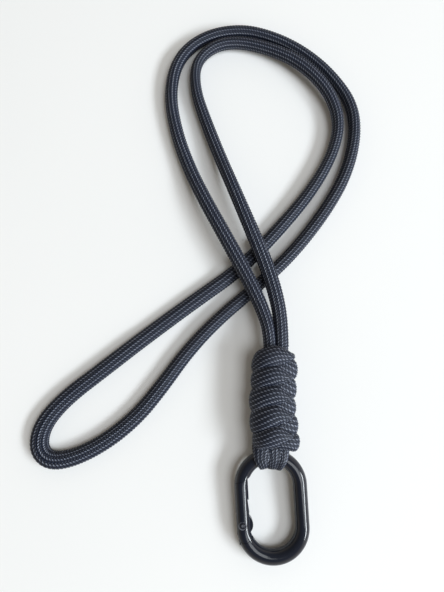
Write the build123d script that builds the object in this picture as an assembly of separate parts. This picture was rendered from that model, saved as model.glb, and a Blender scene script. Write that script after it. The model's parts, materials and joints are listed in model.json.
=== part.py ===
from build123d import *
import math
import os

# A neck lanyard: one braided cord laid out as a neck loop, tied in a snake knot onto a spring-gate carabiner.
# Millimetres. It lies on the plane z = 0, with the knot and the carabiner along Y and the carabiner at -Y.
# The origin is the bottom centre of the box round the knot and the carabiner.

# ---------------------------------------------------------------- driving dimensions

object_length = 73.0              # knot top to the carabiner's far end
cord_diameter = 4.0               # nominal braided cord
cord_lift = 0.02                  # the free cord lies this far clear of the surface
arc_share = 0.45                  # of a corner's shorter run that its arc takes up
strand_spacing = 4.1              # between the two strands inside the knot
strand_centre_x = 1.8

knot_centre_x = 1.2
knot_half_width = 8.3
knot_half_height = 6.3
knot_low_end = 2.4                # the end that faces the carabiner
turn_thickness = 3.1              # of a flattened wrap of cord
turn_gap = 0.1
turn_edge_radius = 1.3
turns_meet_x = 3.4                # the left wraps are wider than the right ones
left_seams = (knot_low_end, 7.1, 14.3, 22.4, 27.7)          # where each left wrap begins
right_seams = (knot_low_end, 7.0, 13.0, 18.9, 25.6, 31.8)   # and each right one
last_turn_drop = 0.2              # the last wraps end this far below the knot's top
cord_end_length = 5.5
cord_end_size = (2.4, 0.7)        # melted flat, wide and thick
cord_end_spacing = 2.6

rod_diameter = 4.8                # of the carabiner's bar
far_bar_thickness = 5.3           # the end bar away from the cord is thicker, seen face on
ring_width = 24.8
ring_straight = 13.4              # of each side
ring_lean = 3.0                   # the carabiner is turned this much about Z
bar_height = 4.3                  # the cord under the top bar holds it up

pivot_inset = 2.1                 # pivot centre from the gate's outer edge
pivot_along = 1.4                 # pivot centre from the end of the straight side
pivot_seam_radius = 5.5
top_seam_along = 7.6              # centre of the slanted seam from the top bar's centre
top_seam_angle = 20.0
seam_gap = 0.12
tongue_thickness = 2.0
tongue_radius = 3.6
tongue_flat = 3.2                 # from the pivot to the flat that the plunger presses
tongue_neck_width = 3.4
tongue_neck_offset = 0.4          # towards the inside of the ring
tongue_root_depth = 0.8           # how far the neck runs into the frame's bar
tongue_setback = 0.2              # behind the gate's outer edge
slot_clearance = 0.1
slot_depth = 3.95                 # from the pivot to the slot's end
latch_reach = 13.9                # the latch rib runs from the seam to here
latch_rib_thickness = 1.5
latch_rib_height = 0.4
gate_flat_depth = 0.55            # taken off the gate's inner side beside the rib
gate_taper_end = 19.5

pin_radius = 0.9
pin_clearance = 0.05
pin_head_radius = 1.4
pin_head_height = 0.4
pin_head_rounding = 0.15
pin_seat_depth = 0.6              # each head is let this far into the gate's side
pin_button_radius = 0.85
pin_button_height = 0.5
pin_button_rounding = 0.2
bore_radius = 1.0
bore_depth = 6.5
plunger_radius = 0.93
plunger_length = 3.0
plunger_gap = 0.03
spring_coils = 6
spring_radius = 0.72
spring_wire = 0.3

loop_thickness = 1.65
loop_width = 5.6
loop_clearance = 0.15
loop_fan = 16.4                   # each strand is square to the curved bar, this far round from its middle
loop_fan_centre = -7.0            # the pair sits to the right of the bar's middle
loop_knot_gap = 0.05
loop_edge_radius = 0.6
loop_leg_overrun = 2.0            # past the knot's low end, before the legs are cut there

# ---------------------------------------------------------------- worked out

cord_radius = cord_diameter / 2
rod_radius = rod_diameter / 2
knot_top = object_length / 2
knot_centre_z = knot_half_height
turns_end = knot_top - last_turn_drop
ring_radius = ring_width / 2 - rod_radius
centre_length = ring_straight + 2 * ring_radius
ring_tilt = math.degrees(math.asin((bar_height - rod_radius) / centre_length))
far_bar_growth = far_bar_thickness - rod_diameter
bar_x = -centre_length / 2 * math.sin(math.radians(ring_lean))
bar_y = -object_length / 2 + far_bar_thickness / 2 + centre_length
ring_place = Pos(bar_x, bar_y, bar_height) * Rot(0, 0, ring_lean) * Rot(ring_tilt, 0, 0)
far_arc_y = -ring_radius - ring_straight
pivot = Vector(-ring_width / 2 + pivot_inset, far_arc_y + pivot_along)
slot_thickness = tongue_thickness + 2 * slot_clearance
pin_seat_z = rod_radius - pin_seat_depth
far = 40                          # past everything, for cutting

# Cord centre line, from the knot's left strand round the neck loop to its right strand.
table = cord_radius + cord_lift
over = knot_centre_z
left_x = strand_centre_x - strand_spacing / 2
right_x = strand_centre_x + strand_spacing / 2
cord_route = [
    (left_x, knot_top, over), (left_x, 42.1, over), (-3.1, 51.1, over), (-8.7, 63.0, over),
    (-15.9, 76.5, over), (-22.9, 89.5, 5.2), (-29.0, 102.6, 2.6), (-34.2, 117.1, table),
    (-37.1, 133.1, table), (-34.2, 147.8, table), (-24.0, 157.1, table), (-9.2, 160.0, table),
    (3.9, 156.5, table), (15.4, 150.0, table), (25.3, 140.7, table), (33.0, 128.6, table),
    (33.7, 115.6, table), (29.5, 100.4, table), (20.7, 85.5, table), (8.3, 69.9, table),
    (-5.3, 57.5, table), (-18.6, 46.3, table), (-29.3, 35.0, table), (-38.3, 22.6, table),
    (-46.8, 12.2, table), (-57.4, 3.7, table), (-68.5, -1.8, table), (-76.9, -2.8, table),
    (-81.1, 1.9, table), (-79.6, 10.0, table), (-72.0, 18.8, table), (-59.1, 28.7, table),
    (-43.2, 41.1, table), (-26.8, 53.2, table), (-11.1, 64.2, table), (3.2, 78.7, table),
    (16.1, 93.9, table), (24.8, 108.6, table), (27.9, 121.6, 2.6), (23.6, 134.1, 3.9),
    (13.3, 145.2, 4.2), (1.1, 151.9, 2.8), (-11.0, 154.8, 2.4), (-20.6, 152.4, 2.8),
    (-27.3, 145.7, table), (-27.1, 134.1, table), (-22.9, 121.5, table), (-17.8, 107.5, 3.3),
    (-12.5, 94.0, 5.6), (-6.7, 79.6, over), (-1.1, 66.1, over), (2.7, 53.1, over),
    (right_x, 43.1, over), (right_x, knot_top, over),
]


# ---------------------------------------------------------------- cord and knot

def corner_radii(points):
    """The largest arc that each corner's two runs leave room for."""
    vectors = [Vector(*point) for point in points]
    radii = []
    for before, corner, after in zip(vectors, vectors[1:], vectors[2:]):
        run_in = corner - before
        run_out = after - corner
        half_turn = math.radians(run_in.get_angle(run_out) / 2)
        radii.append(arc_share * min(run_in.length, run_out.length) / math.tan(half_turn))
    return radii


def neck_cord():
    """The free cord, a plain tube along straight runs joined by tangent arcs."""
    radii = corner_radii(cord_route)
    path = FilletPolyline(*cord_route, radius=radii)
    tube = sweep(Plane(origin=path @ 0, z_dir=path % 0) * Circle(cord_radius), path=path)
    print("cord radii", [round(radius, 1) for radius in radii])
    print("cord length", round(path.length, 1), "volume over section x length",
          round(tube.volume / (math.pi * cord_radius ** 2 * path.length), 4))
    return tube


def knot_turn(side, low, high):
    """One flattened wrap of cord round the knot's left (-1) or right (+1) side."""
    section = Ellipse(knot_half_width, knot_half_height)
    section -= Ellipse(knot_half_width - turn_thickness, knot_half_height - turn_thickness)
    width = high - low - turn_gap
    ring = Pos(knot_centre_x, low + turn_gap / 2, knot_centre_z) * extrude(Plane.XZ * section, -width)
    own_side_x = turns_meet_x + side * (far / 2 + turn_gap / 2)
    band = ring & Pos(own_side_x, low + width / 2, knot_centre_z) * Box(far, far, far)
    rims = band.edges().filter_by(GeomType.ELLIPSE).sort_by(Edge.length)[-2:]
    return fillet(rims, turn_edge_radius)


def core_strand(x):
    """The neck cord's continuation, straight down through the middle of the knot."""
    low = knot_low_end + turn_gap
    return Pos(x, low, knot_centre_z) * extrude(Plane.XZ * Circle(cord_radius), -(knot_top - low))


def cord_end(side):
    """A cut and melted end, pressed flat between the core and the underside of the last wrap."""
    width, thickness = cord_end_size
    middle_z = knot_centre_z - cord_radius - turn_gap - thickness / 2
    top = knot_top - 2 * turn_gap
    bar = extrude(Plane.XZ * SlotOverall(width, thickness), -cord_end_length)
    return Pos(knot_centre_x + side * cord_end_spacing / 2, top - cord_end_length, middle_z) * bar


# ---------------------------------------------------------------- carabiner, in its own plane

def ring_rod():
    """The whole oval ring as one closed bar, before the gate is cut out of it."""
    start = Vector(-ring_radius, far_arc_y)
    left = Line(start, (-ring_radius, -ring_radius))
    top = ThreePointArc(left @ 1, (0, 0), (ring_radius, -ring_radius))
    right = Line(top @ 1, (ring_radius, far_arc_y))
    upper = sweep(Plane(origin=left @ 0, z_dir=left % 0) * Circle(rod_radius), path=Wire([left, top, right]))
    far_arc = ThreePointArc(right @ 1, (0, far_arc_y - ring_radius), start)
    sections = [Plane(origin=far_arc @ t, z_dir=far_arc % t, x_dir=(0, 0, 1)) *
                Ellipse(rod_radius, rod_radius + growth / 2) for t, growth in
                ((0, 0), (0.5, far_bar_growth), (1, 0))]
    lower = sweep(sections, path=far_arc, multisection=True)
    return upper + lower


def gate_zone(gap):
    """The block of space that the gate fills, from the slanted seam to the round seam below the pivot."""
    slope = math.tan(math.radians(top_seam_angle))
    inner_x = -ring_radius + rod_diameter
    outer_x = -ring_radius - rod_diameter
    seam_y = -top_seam_along - gap / math.cos(math.radians(top_seam_angle))
    upper = make_face(Polyline((outer_x, pivot.Y), (inner_x, pivot.Y),
                               (inner_x, seam_y + slope * rod_diameter),
                               (outer_x, seam_y - slope * rod_diameter), close=True))
    lower = Pos(pivot.X, pivot.Y) * Circle(pivot_seam_radius - gap)
    return extrude(upper + lower, far / 2, both=True)


def tongue():
    """The frame's flat end inside the gate, round about the pivot with a flat for the plunger."""
    round_end = Pos(pivot.X, pivot.Y) * Circle(tongue_radius)
    neck_length = pivot_seam_radius + seam_gap + tongue_root_depth
    neck = Rectangle(tongue_neck_width, neck_length)
    neck = Pos(pivot.X + tongue_neck_offset, pivot.Y - neck_length / 2) * neck
    above_flat = Pos(pivot.X, pivot.Y + tongue_flat + tongue_radius / 2) * Rectangle(far, tongue_radius)
    outside = Pos(-ring_width / 2 + tongue_setback - far / 2, pivot.Y) * Rectangle(far, far)
    plate = extrude(round_end + neck - above_flat - outside, tongue_thickness / 2, both=True)
    return plate - Pos(pivot.X, pivot.Y) * Cylinder(pin_radius + pin_clearance, far)


def carabiner_frame(rod):
    """The ring with the gate's place cut out, and the tongue that the gate hinges on."""
    return rod - gate_zone(-seam_gap / 2) + tongue()


def carabiner_gate(rod):
    """The hinged side: a slotted bar with a rib on its inner side that laps the frame's nose."""
    zone = gate_zone(seam_gap / 2)
    inner_x = -ring_radius + rod_radius
    flat_x = inner_x - gate_flat_depth
    relief = make_face(Polyline((flat_x, 0), (flat_x, -latch_reach), (inner_x, -gate_taper_end),
                                (far, -gate_taper_end), (far, 0), close=True))
    bar = (rod & zone) - extrude(relief, far / 2, both=True)
    rib_x = flat_x + latch_rib_height
    rib = Pos(rib_x - rod_radius / 2, -latch_reach + far / 2) * Box(rod_radius, far, latch_rib_thickness)
    slot_top = pivot.Y + slot_depth
    slot = Pos(pivot.X, slot_top - far / 2) * Box(far, far, slot_thickness)
    bore = Pos(pivot.X, slot_top + bore_depth / 2) * Rot(90, 0, 0) * Cylinder(bore_radius, bore_depth)
    gate = bar + (rib & zone) - slot - bore
    gate -= Pos(pivot.X, pivot.Y) * Cylinder(pin_radius, far)
    for side in (-1, 1):
        seat = Cylinder(pin_head_radius + pin_clearance, far)
        gate -= Pos(pivot.X, pivot.Y, side * (pin_seat_z + far / 2)) * seat
    return gate


def gate_pivot_pin():
    """A rivet with a stepped round head let into each cheek of the gate."""
    head = Cylinder(pin_head_radius, pin_head_height)
    head = fillet(head.edges().group_by(Axis.Z)[-1], pin_head_rounding)
    button = Cylinder(pin_button_radius, pin_button_height)
    button = fillet(button.edges().group_by(Axis.Z)[-1], pin_button_rounding)
    pin = Cylinder(pin_radius, 2 * pin_seat_z)
    for flip in (0, 180):
        pin += Rot(flip, 0, 0) * Pos(0, 0, pin_seat_z + pin_head_height / 2) * head
        pin += Rot(flip, 0, 0) * Pos(0, 0, pin_seat_z + pin_head_height) * button
    return Pos(pivot.X, pivot.Y) * pin


def gate_plunger():
    """A short steel rod in the gate's bore, pressed onto the tongue's flat by the spring."""
    middle_y = pivot.Y + tongue_flat + plunger_gap + plunger_length / 2
    return Pos(pivot.X, middle_y) * Rot(90, 0, 0) * Cylinder(plunger_radius, plunger_length)


def gate_spring():
    """A compression coil between the plunger and the blind end of the gate's bore."""
    wire = spring_wire / 2
    low = pivot.Y + tongue_flat + plunger_gap + plunger_length + wire + plunger_gap
    high = pivot.Y + slot_depth + bore_depth - wire - plunger_gap
    coil = Helix(pitch=(high - low) / spring_coils, height=high - low, radius=spring_radius)
    solid = sweep(Plane(origin=coil @ 0, z_dir=coil % 0) * Circle(wire), path=coil)
    return Pos(pivot.X, low) * Rot(-90, 0, 0) * solid


def bar_loop(side):
    """The left (-1) or right (1) flattened strand round the top bar, square to the bar at its own place."""
    inner = rod_radius + loop_clearance
    outer = inner + loop_thickness
    leg = knot_low_end - bar_y + loop_leg_overrun
    band = Circle(outer) + Pos(leg / 2, 0) * Rectangle(leg, 2 * outer)
    band -= Circle(inner) + Pos(leg / 2, 0) * Rectangle(leg, 2 * inner)
    strap = extrude(Plane.YZ * band, loop_width / 2, both=True)
    rims = strap.edges().filter_by(GeomType.CIRCLE).sort_by(Edge.length)[-2:]
    strap = fillet(rims, loop_edge_radius)
    strap = Rot(0, 0, -side * loop_fan) * Pos(0, ring_radius) * strap
    own_side = Pos(side * (far / 2 + turn_gap / 2), 0) * Box(far, far, far)
    pair_place = Pos(0, -ring_radius) * Rot(0, 0, loop_fan_centre)
    placed = ring_place * pair_place * ((strap & own_side) - Torus(ring_radius, inner))
    knot_side = Pos(0, knot_low_end - loop_knot_gap + far / 2, 0) * Box(2 * far, far, far)
    return placed - knot_side


# ---------------------------------------------------------------- write every node

def all_nodes():
    rod = ring_rod()
    nodes = {"neck_cord": neck_cord()}
    for name, side, seams in (("left", -1, left_seams), ("right", 1, right_seams)):
        for number, (low, high) in enumerate(zip(seams, seams[1:] + (turns_end,)), start=1):
            nodes[f"knot_{name}_turn_{number}"] = knot_turn(side, low, high)
    nodes["core_strand_left"] = core_strand(left_x)
    nodes["core_strand_right"] = core_strand(right_x)
    nodes["bar_loop_left"] = bar_loop(-1)
    nodes["bar_loop_right"] = bar_loop(1)
    nodes["cord_end_left"] = cord_end(-1)
    nodes["cord_end_right"] = cord_end(1)
    nodes["carabiner_frame"] = ring_place * carabiner_frame(rod)
    nodes["carabiner_gate"] = ring_place * carabiner_gate(rod)
    nodes["gate_pivot_pin"] = ring_place * gate_pivot_pin()
    nodes["gate_plunger"] = ring_place * gate_plunger()
    nodes["gate_spring"] = ring_place * gate_spring()
    return nodes


os.makedirs("parts", exist_ok=True)
for name, shape in all_nodes().items():
    export_step(shape, f"parts/{name}.step")

ring_frame = Plane(ring_place)
print("ring axes", ring_frame.x_dir, ring_frame.y_dir, ring_frame.z_dir)
print("top bar", ring_frame.origin, "pivot", ring_frame.from_local_coords(pivot))
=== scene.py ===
import json
import math

import bpy
import numpy as np
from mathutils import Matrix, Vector


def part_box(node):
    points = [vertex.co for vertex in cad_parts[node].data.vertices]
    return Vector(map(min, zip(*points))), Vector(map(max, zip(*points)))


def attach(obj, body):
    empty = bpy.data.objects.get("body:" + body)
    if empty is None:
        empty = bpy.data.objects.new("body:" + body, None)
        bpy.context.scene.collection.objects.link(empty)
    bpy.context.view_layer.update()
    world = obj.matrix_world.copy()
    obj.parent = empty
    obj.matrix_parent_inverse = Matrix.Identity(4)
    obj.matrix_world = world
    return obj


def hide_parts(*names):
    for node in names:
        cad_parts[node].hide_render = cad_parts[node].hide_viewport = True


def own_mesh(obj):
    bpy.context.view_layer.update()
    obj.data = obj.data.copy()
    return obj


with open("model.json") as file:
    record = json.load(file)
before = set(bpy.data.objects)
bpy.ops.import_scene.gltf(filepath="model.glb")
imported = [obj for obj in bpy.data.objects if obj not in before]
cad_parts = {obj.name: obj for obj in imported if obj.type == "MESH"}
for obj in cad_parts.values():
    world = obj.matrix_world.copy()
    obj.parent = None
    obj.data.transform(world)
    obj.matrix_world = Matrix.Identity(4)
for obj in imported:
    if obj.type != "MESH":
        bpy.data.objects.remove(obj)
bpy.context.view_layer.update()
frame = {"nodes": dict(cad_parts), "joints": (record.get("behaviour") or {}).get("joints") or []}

# The lanyard's looks: a braided neck cord, the snake knot's wraps, the strands on the carabiner's top bar,
# and the finish of the carabiner. Metres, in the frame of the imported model.

MM = 0.001

# ---------------------------------------------------------------- sizes of the braid

ROW_PITCH = 1.07 * MM              # one float to the next along a column
CLOSE_ROWS = 0.98 * MM             # the same along the inside of a bend
FLOAT_SHEAR = 0.66 * MM            # how far a float climbs across its column
FLOAT_HEIGHT = 0.28 * MM
COLUMN_STAGGER = 0.25              # rows that each column's floats stand ahead of the one before
CREST_SHAPE = 0.7                  # under 1 fills a float out along its column
SIDE_SHAPE = 0.6                   # and across it
WANDER_WAVE = 9.0                  # radians of the slow wave, end to end, that the columns wander in
COARSE = (4, 2)                    # mesh rings in each row, and steps across each column
FINE = (8, 4)
CORD_DIAMETER = 4.2 * MM           # of the same cord pressed round
COLUMNS = 20                       # of floats round the cord
WIDE_COLUMNS = 24                  # and round a left wrap

# ---------------------------------------------------------------- places from the frame

def node_box(node):
    low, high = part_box(node)
    return np.array(low), np.array(high)


LEFT_TURNS = [f"knot_left_turn_{number}" for number in range(1, 6)]
RIGHT_TURNS = [f"knot_right_turn_{number}" for number in range(1, 7)]
left_boxes = [node_box(node) for node in LEFT_TURNS]
right_boxes = [node_box(node) for node in RIGHT_TURNS]
knot_left_x = left_boxes[0][0][0]
knot_right_x = right_boxes[0][1][0]
knot_high_z = left_boxes[0][1][2]
knot_x = (knot_left_x + knot_right_x) / 2
knot_z = knot_high_z / 2
knot_half_width = (knot_right_x - knot_left_x) / 2
knot_half_height = knot_high_z / 2 - FLOAT_HEIGHT
knot_low_y = left_boxes[0][0][1]
knot_top_y = node_box("core_strand_left")[1][1]
left_x = sum(box[0] for box in node_box("core_strand_left")) / 2
right_x = sum(box[0] for box in node_box("core_strand_right")) / 2
joints = {joint["name"]: joint for joint in frame["joints"]}

# ---------------------------------------------------------------- neck cord's route

TABLE = 0.00202                    # height of the cord's middle where it lies on the surface
OVER = knot_z                      # and where it leaves the knot, over the other strands
cord_route = [
    (left_x, knot_top_y, OVER), (left_x, 0.0421, OVER), (-0.0031, 0.0511, OVER), (-0.0087, 0.0630, OVER),
    (-0.0159, 0.0765, OVER), (-0.0229, 0.0895, 0.0052), (-0.0290, 0.1026, 0.0026), (-0.0342, 0.1171, TABLE),
    (-0.0371, 0.1331, TABLE), (-0.0342, 0.1478, TABLE), (-0.0240, 0.1571, TABLE), (-0.0092, 0.1600, TABLE),
    (0.0039, 0.1565, TABLE), (0.0154, 0.1500, TABLE), (0.0253, 0.1407, TABLE), (0.0330, 0.1286, TABLE),
    (0.0337, 0.1156, TABLE), (0.0295, 0.1004, TABLE), (0.0207, 0.0855, TABLE), (0.0083, 0.0699, TABLE),
    (-0.0053, 0.0575, TABLE), (-0.0186, 0.0463, TABLE), (-0.0293, 0.0350, TABLE), (-0.0383, 0.0226, TABLE),
    (-0.0468, 0.0122, TABLE), (-0.0574, 0.0037, TABLE), (-0.0685, -0.0018, TABLE), (-0.0769, -0.0028, TABLE),
    (-0.0811, 0.0019, TABLE), (-0.0796, 0.0100, TABLE), (-0.0720, 0.0188, TABLE), (-0.0591, 0.0287, TABLE),
    (-0.0432, 0.0411, TABLE), (-0.0268, 0.0532, TABLE), (-0.0111, 0.0642, TABLE), (0.0032, 0.0787, TABLE),
    (0.0161, 0.0939, TABLE), (0.0248, 0.1086, TABLE), (0.0279, 0.1216, 0.0026), (0.0236, 0.1341, 0.0039),
    (0.0133, 0.1452, 0.0042), (0.0011, 0.1519, 0.0028), (-0.0110, 0.1548, 0.0024), (-0.0206, 0.1524, 0.0028),
    (-0.0273, 0.1457, TABLE), (-0.0271, 0.1341, TABLE), (-0.0229, 0.1215, TABLE), (-0.0178, 0.1075, 0.0033),
    (-0.0125, 0.0940, 0.0056), (-0.0067, 0.0796, OVER), (-0.0011, 0.0661, OVER), (0.0027, 0.0531, OVER),
    (right_x, 0.0431, OVER), (right_x, knot_top_y, OVER),
]

# How wide the cord lies at some of the route's points: it is pressed flat where it is bent or carries the
# knot, and stands on edge where it turns on itself.
cord_widths = {
    0: 4.1, 3: 5.1, 6: 4.8, 9: 4.3, 12: 3.9, 15: 4.1, 18: 4.3, 21: 4.3, 23: 5.0, 26: 5.5, 28: 6.5, 30: 5.5,
    33: 5.1, 35: 4.7, 37: 3.8, 40: 4.9, 42: 4.3, 44: 3.4, 46: 4.4, 48: 4.5, 50: 5.3, 53: 4.5,
}
THINNEST = 2.9 * MM
THICKEST = 4.3 * MM
WIDTH_REACH = 20                   # points of the line that a change of width is spread over, each way
RISE_RUN = 6 * MM                  # the cord comes to its own height over this distance from the knot
CORD_WANDER = 0.5                  # radians that its braid turns to and fro

# ---------------------------------------------------------------- meshes

def mesh_piece(name, vertices, faces, uvs=None):
    """A smooth-shaded mesh object; uvs holds one pair for each corner of each face, in order."""
    mesh = bpy.data.meshes.new(name)
    mesh.from_pydata(vertices.tolist(), [], faces)
    mesh.shade_smooth()
    if uvs is not None:
        layer = mesh.uv_layers.new(name="weave")
        layer.data.foreach_set("uv", np.asarray(uvs, dtype=np.float32).ravel())
    piece = bpy.data.objects.new(name, mesh)
    bpy.context.scene.collection.objects.link(piece)
    return piece


def spline_points(points, steps=16):
    """Points along the smooth NURBS line that has these control points."""
    curve = bpy.data.curves.new("route", "CURVE")
    curve.dimensions = "3D"
    curve.resolution_u = steps
    spline = curve.splines.new("NURBS")
    spline.points.add(len(points) - 1)
    for control, point in zip(spline.points, points):
        control.co = (*point, 1)
    spline.order_u = 3
    spline.use_endpoint_u = True
    holder = bpy.data.objects.new("route", curve)
    mesh = bpy.data.meshes.new_from_object(holder)
    line = np.array([vertex.co for vertex in mesh.vertices])
    bpy.data.objects.remove(holder)
    bpy.data.curves.remove(curve)
    bpy.data.meshes.remove(mesh)
    return line


def unit(vectors):
    return vectors / np.linalg.norm(vectors, axis=-1, keepdims=True)


def run_lengths(line):
    """The distance along the line to each of its points."""
    return np.concatenate([[0], np.cumsum(np.linalg.norm(np.diff(line, axis=0), axis=1))])


def ease(value, start, end):
    """0 before start, 1 after end and a smooth step between them."""
    share = np.clip((value - start) / (end - start), 0, 1)
    return share * share * (3 - 2 * share)


def smoothed(values, reach):
    """Evens out a row of values over this many neighbours on each side."""
    window = np.hanning(2 * reach + 1)
    padded = np.pad(values, reach, mode="edge")
    return np.convolve(padded, window / window.sum(), mode="valid")


def superellipse(angles, width, height, squareness):
    """Points of a rounded section: squareness 2 is an ellipse, and more is squarer."""
    power = 2 / squareness
    across = width * np.sign(np.cos(angles)) * np.abs(np.cos(angles)) ** power
    upward = height * np.sign(np.sin(angles)) * np.abs(np.sin(angles)) ** power
    return across, upward


def even_angles(count, width, height, squareness, steps=720):
    """Angles that divide such a section into equal lengths."""
    fine = np.linspace(0, 2 * np.pi, steps + 1)
    across, upward = superellipse(fine, width, height, squareness)
    lengths = run_lengths(np.stack([across, upward], axis=1))
    return np.interp(np.arange(count) / count * lengths[-1], lengths, fine)


def grid_faces(rings, around, detail=COARSE):
    """Quads between the rings of a tube, and a fan at each end from one extra vertex, with their weave
    UVs."""
    per_row, per_column = detail
    ring = np.arange(rings - 1)[:, None] * around
    column = np.arange(around)[None, :]
    after = (column + 1) % around
    quads = np.stack([ring + column, ring + after, ring + around + after, ring + around + column], axis=-1)
    row = np.broadcast_to(np.arange(rings - 1)[:, None], (rings - 1, around)) / per_row
    left = np.broadcast_to(column / per_column, row.shape)
    right = left + 1 / per_column
    next_row = row + 1 / per_row
    corners = [(left, row), (right, row), (right, next_row), (left, next_row)]
    uvs = np.stack([np.stack(corner, axis=-1) for corner in corners], axis=2).reshape(-1, 2)
    faces = quads.reshape(-1, 4).tolist()
    first = rings * around
    last = first + 1
    top = (rings - 1) * around
    faces += [[first, (i + 1) % around, i] for i in range(around)]
    faces += [[last, top + i, top + (i + 1) % around] for i in range(around)]
    cap_uvs = np.zeros((2 * around * 3, 2))
    return faces, np.concatenate([uvs, cap_uvs])


def tube_piece(name, grid, line, detail=COARSE):
    """A closed tube from a grid of rings, with one more vertex at each end of its line."""
    rings, around = grid.shape[:2]
    vertices = np.concatenate([grid.reshape(-1, 3), line[:1], line[-1:]])
    faces, uvs = grid_faces(rings, around, detail)
    return mesh_piece(name, vertices, faces, uvs)


def braided_tube(name, line, out, half_width, half_thickness, columns, squareness=2.0, twist=0.0,
                 row_pitch=CLOSE_ROWS, detail=FINE):
    """A braided sheath round a line: columns of slanted floats that stand out of a flattened section.
    out is the direction of the section's thickness at each point of the line, and twist is how far the
    columns wander round the section, in radians."""
    per_row, per_column = detail
    along = run_lengths(line)
    length = along[-1]
    half_width = np.broadcast_to(half_width, along.shape)
    half_thickness = np.broadcast_to(half_thickness, along.shape)
    rings = int(length / row_pitch * per_row) + 1
    around = per_column * columns
    ring = np.arange(rings)[:, None]
    index = np.arange(around)[None, :]
    column = index // per_column
    across_column = index % per_column / per_column
    leaning = np.where(column % 2, -1, 1)
    zigzag = leaning * np.where(across_column > 0, 0.5 - across_column, 0.5) * FLOAT_SHEAR
    place = np.clip(ring / (rings - 1) * length + zigzag, 0, length)
    phase = ring / per_row + COLUMN_STAGGER * column
    crest = (1 + np.cos(2 * np.pi * phase)) / 2
    lift = FLOAT_HEIGHT * crest ** CREST_SHAPE * np.sin(np.pi * across_column) ** SIDE_SHAPE

    def at(values):
        return np.interp(place, along, values)

    tangents = unit(np.gradient(line, along, axis=0))
    centre = np.stack([at(line[:, axis]) for axis in range(3)], axis=-1)
    forward = unit(np.stack([at(tangents[:, axis]) for axis in range(3)], axis=-1))
    upward = np.stack([at(out[:, axis]) for axis in range(3)], axis=-1)
    upward = unit(upward - forward * np.sum(upward * forward, axis=-1, keepdims=True))
    sideways = np.cross(forward, upward)
    angles = even_angles(around, half_width.mean(), half_thickness.mean(), squareness)
    angles = angles[None, :] + twist * np.sin(place / length * WANDER_WAVE)
    across, height = superellipse(angles, at(half_width) + lift, at(half_thickness) + lift, squareness)
    grid = centre + sideways * across[..., None] + upward * height[..., None]
    return tube_piece(name, grid, line, detail)


# ---------------------------------------------------------------- materials

# Colours in pairs that a pattern blends between, the darker or plainer one first.
DARK_FLOATS = ((0.006, 0.013, 0.034, 1), (0.010, 0.020, 0.048, 1))
# painted highlight: paler floats that stand for the lit dots of the braid
HIGHLIGHT_FLOATS = ((0.12, 0.14, 0.20, 1), (0.25, 0.28, 0.36, 1))
# painted shade in the hollows between the floats
SHADE_BETWEEN_FLOATS = (0.002, 0.006, 0.020, 1)
MELTED = ((0.012, 0.012, 0.015, 1), (0.035, 0.024, 0.017, 1))
COATED = ((0.007, 0.0095, 0.017, 1), (0.011, 0.014, 0.024, 1))
# the coating, and the painted highlight on the rivet's head
RIVET_AND_HIGHLIGHT = ((0.008, 0.010, 0.018, 1), (0.16, 0.17, 0.20, 1))
STEEL = ((0.36, 0.36, 0.37, 1), (0.52, 0.52, 0.53, 1))
PALE_FLOOR = ((0.83, 0.84, 0.845, 1), (0.86, 0.865, 0.87, 1))

CREST_HALF_WIDTH = 0.45            # of a float's crest, which carries its colour and the painted highlight, in columns
CREST_HALF_LENGTH = 0.33           # and in rows
CREST_EDGE = (1.1, 0.7)            # its colour, with the painted highlight on every other column, comes in over the painted shade between these shares of that size
FLOAT_EDGE = (0.5, 0.15)           # a float rises between these distances from its column's middle
FILAMENTS = 6                      # fine lines in each row
FILAMENT_HEIGHT = 0.008            # as shares of the bump's depth
FUZZ_HEIGHT = 0.02
BRAID_BUMP = 0.42 * MM
BRAID_ROUGHNESS = (0.65, 0.28)     # between the floats and on them
MELTED_BUMP = 0.08 * MM
COATING_BUMP = 0.012 * MM
STEEL_BUMP = 0.01 * MM
HIGHLIGHT_RING_RADIUS = 1.3 * MM             # of the painted highlight ring round the rivet's head
HIGHLIGHT_RING_FADE = (0.2 * MM, 0.05 * MM)  # the painted highlight ring comes in between these distances from that circle
BUTTON_GLINT_FADE = (0.5 * MM, 0.3 * MM)  # and the painted glint on the button between these from the rivet's axis


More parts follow.
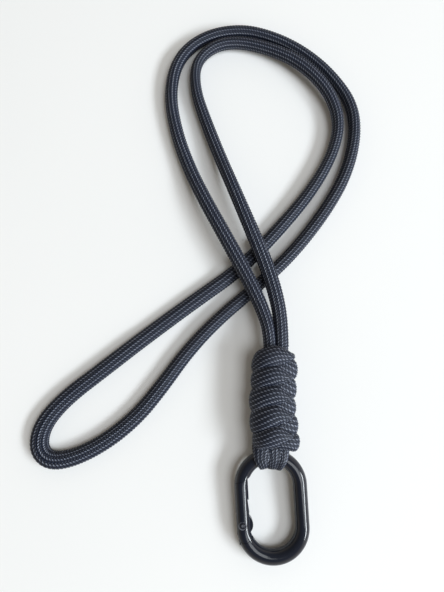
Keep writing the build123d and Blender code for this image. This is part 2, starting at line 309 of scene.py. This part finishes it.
class Tree:
    """A material's nodes, with a short call for each kind that is used here."""

    def __init__(self, name):
        self.material = bpy.data.materials.new(name)
        self.material.use_nodes = True
        self.nodes = self.material.node_tree.nodes
        self.links = self.material.node_tree.links
        self.shader = self.nodes["Principled BSDF"]

    def put(self, socket, value):
        if isinstance(value, bpy.types.NodeSocket):
            self.links.new(value, socket)
        else:
            socket.default_value = value

    def math(self, operation, *values):
        node = self.nodes.new("ShaderNodeMath")
        node.operation = operation
        for socket, value in zip(node.inputs, values):
            self.put(socket, value)
        return node.outputs[0]

    def noise(self, scale, detail=2.0, stretch=(1, 1, 1)):
        """Noise in the piece's own space, so that it moves with the piece."""
        place = self.nodes.new("ShaderNodeTexCoord").outputs["Object"]
        mapping = self.nodes.new("ShaderNodeMapping")
        mapping.inputs["Scale"].default_value = stretch
        self.links.new(place, mapping.inputs["Vector"])
        node = self.nodes.new("ShaderNodeTexNoise")
        node.inputs["Scale"].default_value = scale
        node.inputs["Detail"].default_value = detail
        self.links.new(mapping.outputs[0], node.inputs["Vector"])
        return node.outputs["Fac"]

    def blend(self, factor, dark, light):
        node = self.nodes.new("ShaderNodeMix")
        node.data_type = "RGBA"
        self.put(node.inputs[0], factor)
        self.put(node.inputs[6], dark)
        self.put(node.inputs[7], light)
        return node.outputs[2]

    def remap(self, value, low, high, new_low=0.0, new_high=1.0):
        node = self.nodes.new("ShaderNodeMapRange")
        for socket, number in zip(node.inputs, (value, low, high, new_low, new_high)):
            self.put(socket, number)
        return node.outputs[0]

    def bump(self, height, distance, strength=1.0):
        node = self.nodes.new("ShaderNodeBump")
        node.inputs["Distance"].default_value = distance
        node.inputs["Strength"].default_value = strength
        self.links.new(height, node.inputs["Height"])
        self.links.new(node.outputs[0], self.shader.inputs["Normal"])

    def finish(self, **sockets):
        """Sets the shader's own sockets, spaces in their names written as underscores."""
        for name, value in sockets.items():
            self.put(self.shader.inputs[name.replace("_", " ")], value)
        return self.material


def braid_material():
    """Blue-black nylon braid, with painted shade between the floats, filament lines and fuzz. Every other
    column's floats carry a painted highlight, pale in any light, that stands for the lit dots of the real
    braid."""
    tree = Tree("braided_nylon")
    weave = tree.nodes.new("ShaderNodeUVMap")
    weave.uv_map = "weave"
    split = tree.nodes.new("ShaderNodeSeparateXYZ")
    tree.links.new(weave.outputs[0], split.inputs[0])
    u = split.outputs[0]
    v = split.outputs[1]
    column = tree.math("FLOOR", u)
    across = tree.math("ABSOLUTE", tree.math("SUBTRACT", tree.math("FRACT", u), 0.5))
    parity = tree.math("MODULO", column, 2.0)
    phase = tree.math("ADD", v, tree.math("MULTIPLY", column, COLUMN_STAGGER))
    half_row_on = tree.math("FRACT", tree.math("ADD", phase, 0.5))
    off_crest = tree.math("ABSOLUTE", tree.math("SUBTRACT", half_row_on, 0.5))
    wide = tree.math("POWER", tree.math("DIVIDE", across, CREST_HALF_WIDTH), 2.0)
    tall = tree.math("POWER", tree.math("DIVIDE", off_crest, CREST_HALF_LENGTH), 2.0)
    from_crest = tree.math("SQRT", tree.math("ADD", wide, tall))
    row_height = tree.math("COSINE", tree.math("MULTIPLY", phase, 2 * math.pi))
    row_height = tree.remap(row_height, -1.0, 1.0)
    column_height = tree.remap(across, *FLOAT_EDGE)
    float_height = tree.math("MULTIPLY", row_height, column_height)
    filaments = tree.math("SINE", tree.math("MULTIPLY", v, 2 * math.pi * FILAMENTS))
    fuzz = tree.noise(2600, 2.0)
    wear = tree.noise(90, 3.0)
    height = tree.math("ADD", float_height, tree.math("MULTIPLY", filaments, FILAMENT_HEIGHT))
    tree.bump(tree.math("ADD", height, tree.math("MULTIPLY", fuzz, FUZZ_HEIGHT)), BRAID_BUMP)
    dark = tree.blend(wear, *DARK_FLOATS)
    highlight_colour = tree.blend(wear, *HIGHLIGHT_FLOATS)
    # painted highlight on every other column's floats, the floats' own colour on the rest
    crest_colour_and_highlight = tree.blend(parity, highlight_colour, dark)
    # painted shade between the floats, outside each float's crest
    colour = tree.blend(tree.remap(from_crest, *CREST_EDGE), SHADE_BETWEEN_FLOATS, crest_colour_and_highlight)
    rough = tree.remap(float_height, 0.2, 0.7, *BRAID_ROUGHNESS)
    return tree.finish(Base_Color=colour, Roughness=rough, Specular_IOR_Level=0.48)


def melted_material():
    """Nylon that was melted and pressed: glossy, with brown scorching in patches."""
    tree = Tree("melted_nylon")
    scorch = tree.noise(700, 3.0)
    tree.bump(tree.noise(1500, 2.0), MELTED_BUMP)
    colour = tree.blend(tree.remap(scorch, 0.45, 0.65), *MELTED)
    return tree.finish(Base_Color=colour, Roughness=tree.remap(scorch, 0.3, 0.7, 0.18, 0.4))


def coating_material():
    """Glossy blue-black coating over a die-cast ring, with the faint unevenness of its surface."""
    tree = Tree("ring_coating")
    cloud = tree.noise(160, 3.0)
    tree.bump(tree.noise(420, 2.0), COATING_BUMP)
    colour = tree.blend(cloud, *COATED)
    rough = tree.remap(tree.noise(900, 3.0), 0.35, 0.65, 0.10, 0.16)
    return tree.finish(Base_Color=colour, Roughness=rough, Metallic=0.0, Specular_IOR_Level=0.42)


def rivet_material():
    """The same coating, with a painted highlight ring round the head and a painted glint on the button in its
    middle.
    """
    tree = Tree("rivet_coating")
    pivot = joints["gate_hinge"]["pos_m"]
    from_axis = tree.nodes.new("ShaderNodeVectorMath")
    from_axis.operation = "DISTANCE"
    place = tree.nodes.new("ShaderNodeTexCoord").outputs["Object"]
    flatten = tree.nodes.new("ShaderNodeVectorMath")
    flatten.operation = "MULTIPLY"
    flatten.inputs[1].default_value = (1, 1, 0)
    tree.links.new(place, flatten.inputs[0])
    tree.links.new(flatten.outputs[0], from_axis.inputs[0])
    from_axis.inputs[1].default_value = (pivot[0], pivot[1], 0)
    radius = from_axis.outputs["Value"]
    off_edge = tree.math("ABSOLUTE", tree.math("SUBTRACT", radius, HIGHLIGHT_RING_RADIUS))
    # a painted highlight ring round the head's rim, and a painted glint on the button in its middle
    edge = tree.remap(off_edge, *HIGHLIGHT_RING_FADE)
    button = tree.remap(radius, *BUTTON_GLINT_FADE, 0.0, 0.7)
    patchy = tree.remap(tree.noise(800, 3.0), 0.3, 0.6, 0.4, 1.0)
    rivet_highlight = tree.math("MULTIPLY", tree.math("MAXIMUM", edge, button), patchy)
    colour = tree.blend(rivet_highlight, *RIVET_AND_HIGHLIGHT)
    tree.bump(tree.noise(420, 2.0), COATING_BUMP)
    return tree.finish(Base_Color=colour, Roughness=0.22, Specular_IOR_Level=0.5)


def steel_material():
    tree = Tree("spring_steel")
    grain = tree.noise(1800, 2.0, stretch=(1, 0.1, 1))
    tree.bump(grain, STEEL_BUMP)
    colour = tree.blend(grain, *STEEL)
    return tree.finish(Base_Color=colour, Roughness=tree.remap(grain, 0.3, 0.7, 0.22, 0.4), Metallic=1.0)


def floor_material():
    tree = Tree("pale_floor")
    colour = tree.blend(tree.noise(9, 2.0), *PALE_FLOOR)
    return tree.finish(Base_Color=colour, Roughness=0.75, Specular_IOR_Level=0.2)


def paint(piece, material):
    piece.data.materials.clear()
    piece.data.materials.append(material)


# ---------------------------------------------------------------- neck cord

def cord_section(along):
    """Half width and half thickness along the cord, from the widths at the route's points."""
    control_places = run_lengths(np.array(cord_route))
    control_places = control_places / control_places[-1] * along[-1]
    places = [control_places[index] for index in cord_widths]
    width = np.interp(along, places, [value * MM for value in cord_widths.values()])
    width = smoothed(width, WIDTH_REACH)
    thickness = np.sqrt(np.maximum(2 * CORD_DIAMETER ** 2 - width ** 2, THINNEST ** 2))
    return width / 2, np.clip(thickness, THINNEST, THICKEST) / 2


def make_neck_cord(material):
    line = spline_points(cord_route)
    half_width, half_thickness = cord_section(run_lengths(line))
    rise = half_thickness + FLOAT_HEIGHT - TABLE
    line[:, 2] += rise * ease(line[:, 1], knot_top_y, knot_top_y + RISE_RUN)
    out = np.broadcast_to((0.0, 0.0, 1.0), line.shape)
    piece = braided_tube("neck_cord_braid", line, out, half_width, half_thickness, COLUMNS, twist=CORD_WANDER,
                         row_pitch=ROW_PITCH, detail=COARSE)
    paint(piece, material)
    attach(piece, "cord")
    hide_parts("neck_cord")


# ---------------------------------------------------------------- knot

WRAP_THICKNESS = 3.1 * MM
WRAP_LAP = 0.2 * MM                # neighbours press into each other by this much
WRAP_WANDER = 0.20                 # radians that the braid turns to and fro on a wrap
WRAP_SQUARENESS = 2.05
LEFT_STEPS = 261                   # points along a left wrap's line
RIGHT_STEPS = 181                  # and along a right wrap's
CORE_STEPS = 60                    # and along a core strand's
CORE_INSET = 1.0 * MM              # a core strand starts this far above the knot's lower end
TUCK_DEPTH = 2.6 * MM
NARROWEST = 0.5 * MM               # half of a tip's width
TIP_THICKNESS = 0.5 * MM           # half of what a tip of no width would have
THICKNESS_GAIN = 0.6               # and how much it gains with the half width
TUCK_RUN = 0.35                    # radians before its last stop that a left wrap starts to sink
EDGE_REACH = 15                    # steps that a corner of a wrap's edge is rounded over, each way
# Where a left wrap's edges are given, as angles from its own side: the side, the front, the apex where it
# is highest, and the tip that tucks between two right wraps.
LEFT_STOPS = [math.radians(angle) for angle in (8, 55, 92, 143)]
LEFT_END = math.radians(156)
RIGHT_END = math.radians(112)
side_seams = [seam * MM for seam in (2.4, 7.4, 14.4, 21.6, 27.7, 32.5)]
front_seams = [seam * MM for seam in (3.1, 8.9, 16.7, 23.2, 29.7, 35.7)]
apex_seams = [seam * MM for seam in (3.8, 10.7, 17.5, 23.9, 30.6, 36.9)]
tips = [tip * MM for tip in (1.7, 7.1, 13.2, 19.1, 25.7, 32.0, 34.3)]
right_apexes = apex_seams[:5] + [34.2 * MM]
left_bulge = [bulge * MM for bulge in (-0.6, 0.3, 0.4, -0.2, -0.5)]
right_bulge = [bulge * MM for bulge in (-0.2, -0.6, -1.2, -0.9, -0.4, -1.2)]
END_LEAN = math.radians(8)         # the first and last wraps lean in over the knot's ends
LOWEST_TUCK = 2.7 * MM             # the first right wrap stays above the top bar where it tucks in
SINK = 1.0 * MM                    # how far a right wrap goes under the left ones before it tucks in
# The angles from its own side, in radians, between which a right wrap climbs to its apex, sinks under the
# left wraps and tucks in, and between which the first one is lifted.
CLIMBING = (0.3, math.radians(90))
SINKING = (0.5, 1.35)
TUCKING = (1.3, RIGHT_END)
LIFTING = (0, 1.2)


def wrap_line(side, bend, depth, bulge, y):
    """A wrap's centre line round the knot; bend is the angle from the wrap's own side, and depth is how far
    the line lies under the knot's outline."""
    across = knot_half_width - depth + bulge
    upward = knot_half_height - depth
    line = np.stack([knot_x + side * across * np.cos(bend), y, knot_z + upward * np.sin(bend)], axis=1)
    out = unit(np.stack([side * np.cos(bend) / across, np.zeros_like(bend), np.sin(bend) / upward], axis=1))
    return line, out


def lean_in(out, number, turns):
    """Tips the section of the first or the last wrap so that its outer edge comes nearer to the middle."""
    angle = {0: -END_LEAN, len(turns) - 1: END_LEAN}.get(number, 0)
    return out * math.cos(angle) + np.array([0.0, math.sin(angle), 0.0])


def edge_line(turn, heights):
    """A wrap's edge through its heights at the stops, with its corners rounded off."""
    return smoothed(np.interp(turn, LEFT_STOPS, heights), EDGE_REACH)


def make_left_wrap(number, material):
    """A left wrap lies on top at the front and the back, and narrows to tips between two right wraps."""
    last = number == len(LEFT_TURNS) - 1
    bend = np.linspace(-LEFT_END, LEFT_END, LEFT_STEPS)
    turn = np.abs(bend)
    tip = tips[number + 1]
    top_tip = tips[number + 2] if last else tip
    low = edge_line(turn, (side_seams[number], front_seams[number], apex_seams[number], tip))
    high = edge_line(turn, (side_seams[number + 1], front_seams[number + 1], apex_seams[number + 1], top_tip))
    half_width = np.maximum((high - low + WRAP_LAP) / 2, NARROWEST)
    half_thickness = np.minimum(WRAP_THICKNESS / 2, TIP_THICKNESS + half_width * THICKNESS_GAIN)
    depth = half_thickness + TUCK_DEPTH * ease(turn, LEFT_STOPS[-1] - TUCK_RUN, LEFT_END)
    bulge = left_bulge[number] * (1 - ease(turn, 0, LEFT_STOPS[2]))
    line, out = wrap_line(-1, bend, depth, bulge, (low + high) / 2)
    out = lean_in(out, number, LEFT_TURNS)
    piece = braided_tube(f"knot_left_wrap_{number + 1}", line, out, half_width, half_thickness,
                         WIDE_COLUMNS, WRAP_SQUARENESS, twist=WRAP_WANDER)
    finish_cord_piece(piece, LEFT_TURNS[number], material)


def make_right_wrap(number, material):
    """A right wrap bulges at the right, and its tips tuck under the left wraps at their apexes."""
    low, high = tips[number], tips[number + 1]
    bend = np.linspace(-RIGHT_END, RIGHT_END, RIGHT_STEPS)
    turn = np.abs(bend)
    side_y = (low + high) / 2
    y = side_y + (right_apexes[number] - side_y) * ease(turn, *CLIMBING)
    half_width = np.full_like(bend, (high - low + WRAP_LAP) / 2)
    if number == 0:
        # Brings the low edge up to LOWEST_TUCK and leaves the high edge where it is.
        lift = (LOWEST_TUCK - (y - half_width)) / 2 * ease(turn, *LIFTING)
        y = y + lift
        half_width = half_width - lift
    depth = WRAP_THICKNESS / 2 + SINK * ease(turn, *SINKING) + TUCK_DEPTH * ease(turn, *TUCKING)
    line, out = wrap_line(1, bend, depth, right_bulge[number], y)
    out = lean_in(out, number, RIGHT_TURNS)
    piece = braided_tube(f"knot_right_wrap_{number + 1}", line, out, half_width, WRAP_THICKNESS / 2,
                         COLUMNS, WRAP_SQUARENESS, twist=-WRAP_WANDER)
    finish_cord_piece(piece, RIGHT_TURNS[number], material)


def finish_cord_piece(piece, node, material):
    paint(piece, material)
    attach(piece, "cord")
    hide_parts(node)


def make_core_strand(node, x, material):
    """The neck cord's continuation through the middle of the knot."""
    y = np.linspace(knot_low_y + CORE_INSET, knot_top_y, CORE_STEPS)
    line = np.stack([np.full_like(y, x), y, np.full_like(y, knot_z)], axis=1)
    out = np.broadcast_to((0.0, 0.0, 1.0), line.shape)
    piece = braided_tube(f"{node}_braid", line, out, CORD_DIAMETER / 2, CORD_DIAMETER / 2, COLUMNS)
    finish_cord_piece(piece, node, material)


END_STEPS = 28                     # rings along a melted end, and vertices round it
END_SQUARENESS = 2.6
END_BLUNTNESS = 8                  # the power that rounds it off towards its two faces
END_FACE = 0.02                    # the square of the faces' share of its size
BEAD_PLACE = 0.9                   # share of its length at which its bead is thickest
BEAD_RUN = 0.07
BEAD_SHARE = 0.14                  # of its size that only the bead has
BEAD_HEIGHT = 0.2                  # and of its height, besides


def make_cord_end(node, material):
    """A cut cord end, melted and pressed flat, with a thicker bead at its very end."""
    low, high = node_box(node)
    middle = (low + high) / 2
    half = (high - low) / 2
    angles = np.arange(END_STEPS) / END_STEPS * 2 * np.pi
    rings = []
    for step in np.linspace(0, 1, END_STEPS):
        bead = math.exp(-((step - BEAD_PLACE) / BEAD_RUN) ** 2)
        size = math.sqrt(max(1 - (2 * step - 1) ** END_BLUNTNESS, END_FACE)) * (1 - BEAD_SHARE * (1 - bead))
        height = half[2] * size * (1 - BEAD_HEIGHT * (1 - bead))
        across, upward = superellipse(angles, half[0] * size, height, END_SQUARENESS)
        y = low[1] + step * 2 * half[1]
        rings.append(np.stack([middle[0] + across, np.full(END_STEPS, y), middle[2] + upward], axis=1))
    line = np.array([[middle[0], low[1], middle[2]], [middle[0], high[1], middle[2]]])
    piece = tube_piece(f"{node}_melted", np.array(rings), line)
    paint(piece, material)
    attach(piece, "cord")
    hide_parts(node)


# ---------------------------------------------------------------- strands on the carabiner's top bar

BAR_RADIUS = 2.4 * MM
BAR_BEND = 10.0 * MM               # radius of the top bar's own curve
BAR_ABOVE_AXIS = 0.4 * MM          # from the axis that the ring swings about to the bar's centre
LOOP_THICKNESS = 1.1 * MM
LOOP_GAP = FLOAT_HEIGHT + 0.03 * MM
LOOP_LEVEL = -4.35 * MM            # the strands hang level here, from the bar's middle, and sink to the right
LOOP_SINK = 0.07
LOOP_SQUEEZE = 0.25                # what would hang lower is pressed up to this share
LOOP_INTO_KNOT = 2.2 * MM
LOOP_CLOSES = 0.2                  # share of its height that a strand loses on its way into the knot
LOOP_CLOSES_FROM = 2.0 * MM        # above the bar's middle
LOOP_SQUARENESS = 2.4
BEND_STEPS = 60                    # points round the bar, and up each side of it
LEG_STEPS = 20
# Each strand: the node that it stands for, its middle along the bar, the angle that it fans out at on its way
# up, its half width, and its slack.
BAR_STRANDS = {
    "bar_strand_left": ("bar_loop_left", -2.5 * MM, math.radians(18), 2.45 * MM, 0.0),
    "bar_strand_middle": ("bar_loop_right", 1.4 * MM, math.radians(-6), 2.5 * MM, 0.45 * MM),
    "bar_strand_right": ("bar_loop_right", 4.3 * MM, math.radians(-14), 1.5 * MM, 0.35 * MM),
}
ring_x = -np.array(joints["carabiner_swing"]["axis"])
ring_z = -np.array(joints["gate_hinge"]["axis"])
ring_y = np.cross(ring_z, ring_x)
bar_middle = np.array(joints["carabiner_swing"]["pos_m"]) + BAR_ABOVE_AXIS * ring_y


def bar_loop_line(middle_x, fan, slack):
    """Up the front of a straight bar, into the knot, and the same behind: a U in the bar's own axes, with
    slack where it hangs below the bar."""
    length_up = knot_low_y + LOOP_INTO_KNOT - bar_middle[1]
    radius = BAR_RADIUS + LOOP_GAP + LOOP_THICKNESS / 2
    around = np.linspace(np.pi / 2, 3 * np.pi / 2, BEND_STEPS)
    leg = np.linspace(1, 0, LEG_STEPS)[:-1]
    toward_knot = np.concatenate([leg * length_up, (radius + slack) * np.cos(around), leg[::-1] * length_up])
    upward = np.concatenate([np.full(leg.size, radius), radius * np.sin(around), np.full(leg.size, -radius)])
    upward = upward * (1 - LOOP_CLOSES * ease(toward_knot, LOOP_CLOSES_FROM, length_up))
    normal_out = np.concatenate([np.zeros(leg.size), np.cos(around), np.zeros(leg.size)])
    normal_up = np.concatenate([np.ones(leg.size), np.sin(around), -np.ones(leg.size)])
    x = middle_x + np.maximum(toward_knot, 0) * math.tan(fan)
    line = np.stack([x, toward_knot, upward], axis=1)
    out = np.stack([np.zeros_like(x), normal_out, normal_up], axis=1)
    return line, out


def bend_round_bar(piece):
    """Carries a strand from the straight bar that it was made on to the ring's curved bar."""
    vertices = piece.data.vertices
    straight = np.empty(3 * len(vertices))
    vertices.foreach_get("co", straight)
    x, toward_knot, upward = straight.reshape(-1, 3).T[..., None]
    radius = BAR_BEND + toward_knot
    turn = x / BAR_BEND
    across = radius * np.sin(turn)
    along = radius * np.cos(turn) - BAR_BEND
    level = LOOP_LEVEL - LOOP_SINK * across
    along = np.maximum(along, level) + LOOP_SQUEEZE * np.minimum(along - level, 0)
    bent = ring_x * across + ring_y * along + ring_z * upward
    vertices.foreach_set("co", (bar_middle + bent).ravel())


def make_bar_loop(name, node, middle_x, fan, half_width, slack, material):
    line, out = bar_loop_line(middle_x, fan, slack)
    piece = braided_tube(name, line, out, half_width, LOOP_THICKNESS / 2, COLUMNS, LOOP_SQUARENESS)
    bend_round_bar(piece)
    finish_cord_piece(piece, node, material)


# ---------------------------------------------------------------- spring in the gate

SPRING_WIRE = 0.3 * MM
SPRING_COILS = 6
COIL_STEPS = 40                    # points along each coil
WIRE_AROUND = 10                   # vertices round the wire


def make_gate_spring(material):
    """A coil in the gate's bore, as long as the spring part that it stands for."""
    low, high = node_box("gate_spring")
    along = unit(np.array(joints["plunger_slide"]["axis"]))
    across = np.array([1.0, 0.0, 0.0])
    upward = np.cross(across, along)
    radius = (high[0] - low[0] - SPRING_WIRE) / 2
    length = high[1] - low[1] - SPRING_WIRE
    turn = np.linspace(0, 2 * np.pi * SPRING_COILS, COIL_STEPS * SPRING_COILS + 1)[:, None]
    out = across * np.cos(turn) + upward * np.sin(turn)
    line = (low + high) / 2 + along * length * (turn / turn[-1] - 0.5) + out * radius
    forward = unit(np.gradient(line, axis=0))
    sideways = np.cross(forward, out)
    around = np.arange(WIRE_AROUND) / WIRE_AROUND * 2 * np.pi
    grid = line[:, None] + SPRING_WIRE / 2 * (
        out[:, None] * np.cos(around)[:, None] + sideways[:, None] * np.sin(around)[:, None])
    piece = tube_piece("gate_spring_coil", grid, line)
    paint(piece, material)
    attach(piece, "gate")
    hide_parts("gate_spring")
    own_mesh(piece)


# ---------------------------------------------------------------- stage

FLOOR_HALF = 3.0
CAMERA_PLACE = (-0.01692, 0.03352, 0.16759)
CAMERA_TILT = math.radians(7.4)
CAMERA_LENS = 27.97                # both in millimetres, as Blender asks
SENSOR_WIDTH = 36
CLIP_START = 0.005
ROOM_COLOUR = (1.0, 0.90, 0.76, 1)
# How the room's light changes along an axis: from and to these directions, and from and to these strengths.
ROOM_RAMPS = {"Z": (0.2, 0.8, 0.95, 0.18), "X": (-0.8, 0.4, 0.6, 1.0)}
# Each light's place, target, size, watts and colour.
LIGHTS = {
    "window": ((1.85, -0.70, 1.26), (0, 0.03, 0), (1.54, 0.48), 59.0, (0.89, 0.955, 1.0)),
    "room": ((0.98, -0.28, 2.10), (0, 0.07, 0), (1.3, 1.3), 23.5, (0.93, 0.97, 1.0)),
}


def make_floor(material):
    corners = FLOOR_HALF * np.array([(-1, -1, 0), (1, -1, 0), (1, 1, 0), (-1, 1, 0)])
    floor = mesh_piece("floor", corners, [[0, 1, 2, 3]])
    paint(floor, material)


def make_camera():
    """Above the cord, tilted a little towards the top of the loop."""
    camera = bpy.data.cameras.new("camera")
    camera.sensor_width = SENSOR_WIDTH
    camera.lens = CAMERA_LENS
    camera.clip_start = CLIP_START
    holder = bpy.data.objects.new("camera", camera)
    holder.location = CAMERA_PLACE
    holder.rotation_euler = (CAMERA_TILT, 0, 0)
    bpy.context.scene.collection.objects.link(holder)
    bpy.context.scene.camera = holder


def add_area_light(name, place, target, size, power, colour):
    light = bpy.data.lights.new(name, "AREA")
    light.shape = "RECTANGLE"
    light.size, light.size_y = size
    light.energy = power
    light.color = colour
    holder = bpy.data.objects.new(name, light)
    holder.location = place
    holder.rotation_euler = (Vector(target) - Vector(place)).to_track_quat("-Z", "Y").to_euler()
    bpy.context.scene.collection.objects.link(holder)


def light_scene():
    """A large window to the right, and a pale room that is darker overhead and to the left."""
    world = bpy.data.worlds.new("room")
    world.use_nodes = True
    nodes = world.node_tree.nodes
    links = world.node_tree.links
    direction = nodes.new("ShaderNodeSeparateXYZ")
    links.new(nodes.new("ShaderNodeTexCoord").outputs["Generated"], direction.inputs[0])
    strength = nodes.new("ShaderNodeMath")
    strength.operation = "MULTIPLY"
    for number, (axis, limits) in enumerate(ROOM_RAMPS.items()):
        ramp = nodes.new("ShaderNodeMapRange")
        ramp.interpolation_type = "SMOOTHSTEP"
        links.new(direction.outputs[axis], ramp.inputs["Value"])
        for socket, limit in zip(("From Min", "From Max", "To Min", "To Max"), limits):
            ramp.inputs[socket].default_value = limit
        links.new(ramp.outputs[0], strength.inputs[number])
    background = nodes["Background"]
    background.inputs["Color"].default_value = ROOM_COLOUR
    links.new(strength.outputs[0], background.inputs["Strength"])
    bpy.context.scene.world = world
    bpy.context.scene.view_settings.view_transform = "Standard"
    for name, values in LIGHTS.items():
        add_area_light(name, *values)


# ---------------------------------------------------------------- build

make_camera()
light_scene()
make_floor(floor_material())

braid = braid_material()
make_neck_cord(braid)
for number in range(len(LEFT_TURNS)):
    make_left_wrap(number, braid)
for number in range(len(RIGHT_TURNS)):
    make_right_wrap(number, braid)
make_core_strand("core_strand_left", left_x, braid)
make_core_strand("core_strand_right", right_x, braid)
for name, (node, middle_x, fan, half_width, slack) in BAR_STRANDS.items():
    make_bar_loop(name, node, middle_x, fan, half_width, slack, braid)
melted = melted_material()
make_cord_end("cord_end_left", melted)
make_cord_end("cord_end_right", melted)

coating = coating_material()
rivet = rivet_material()
steel = steel_material()
paint(frame["nodes"]["carabiner_frame"], coating)
paint(frame["nodes"]["carabiner_gate"], coating)
paint(frame["nodes"]["gate_pivot_pin"], rivet)
paint(frame["nodes"]["gate_plunger"], steel)
make_gate_spring(steel)
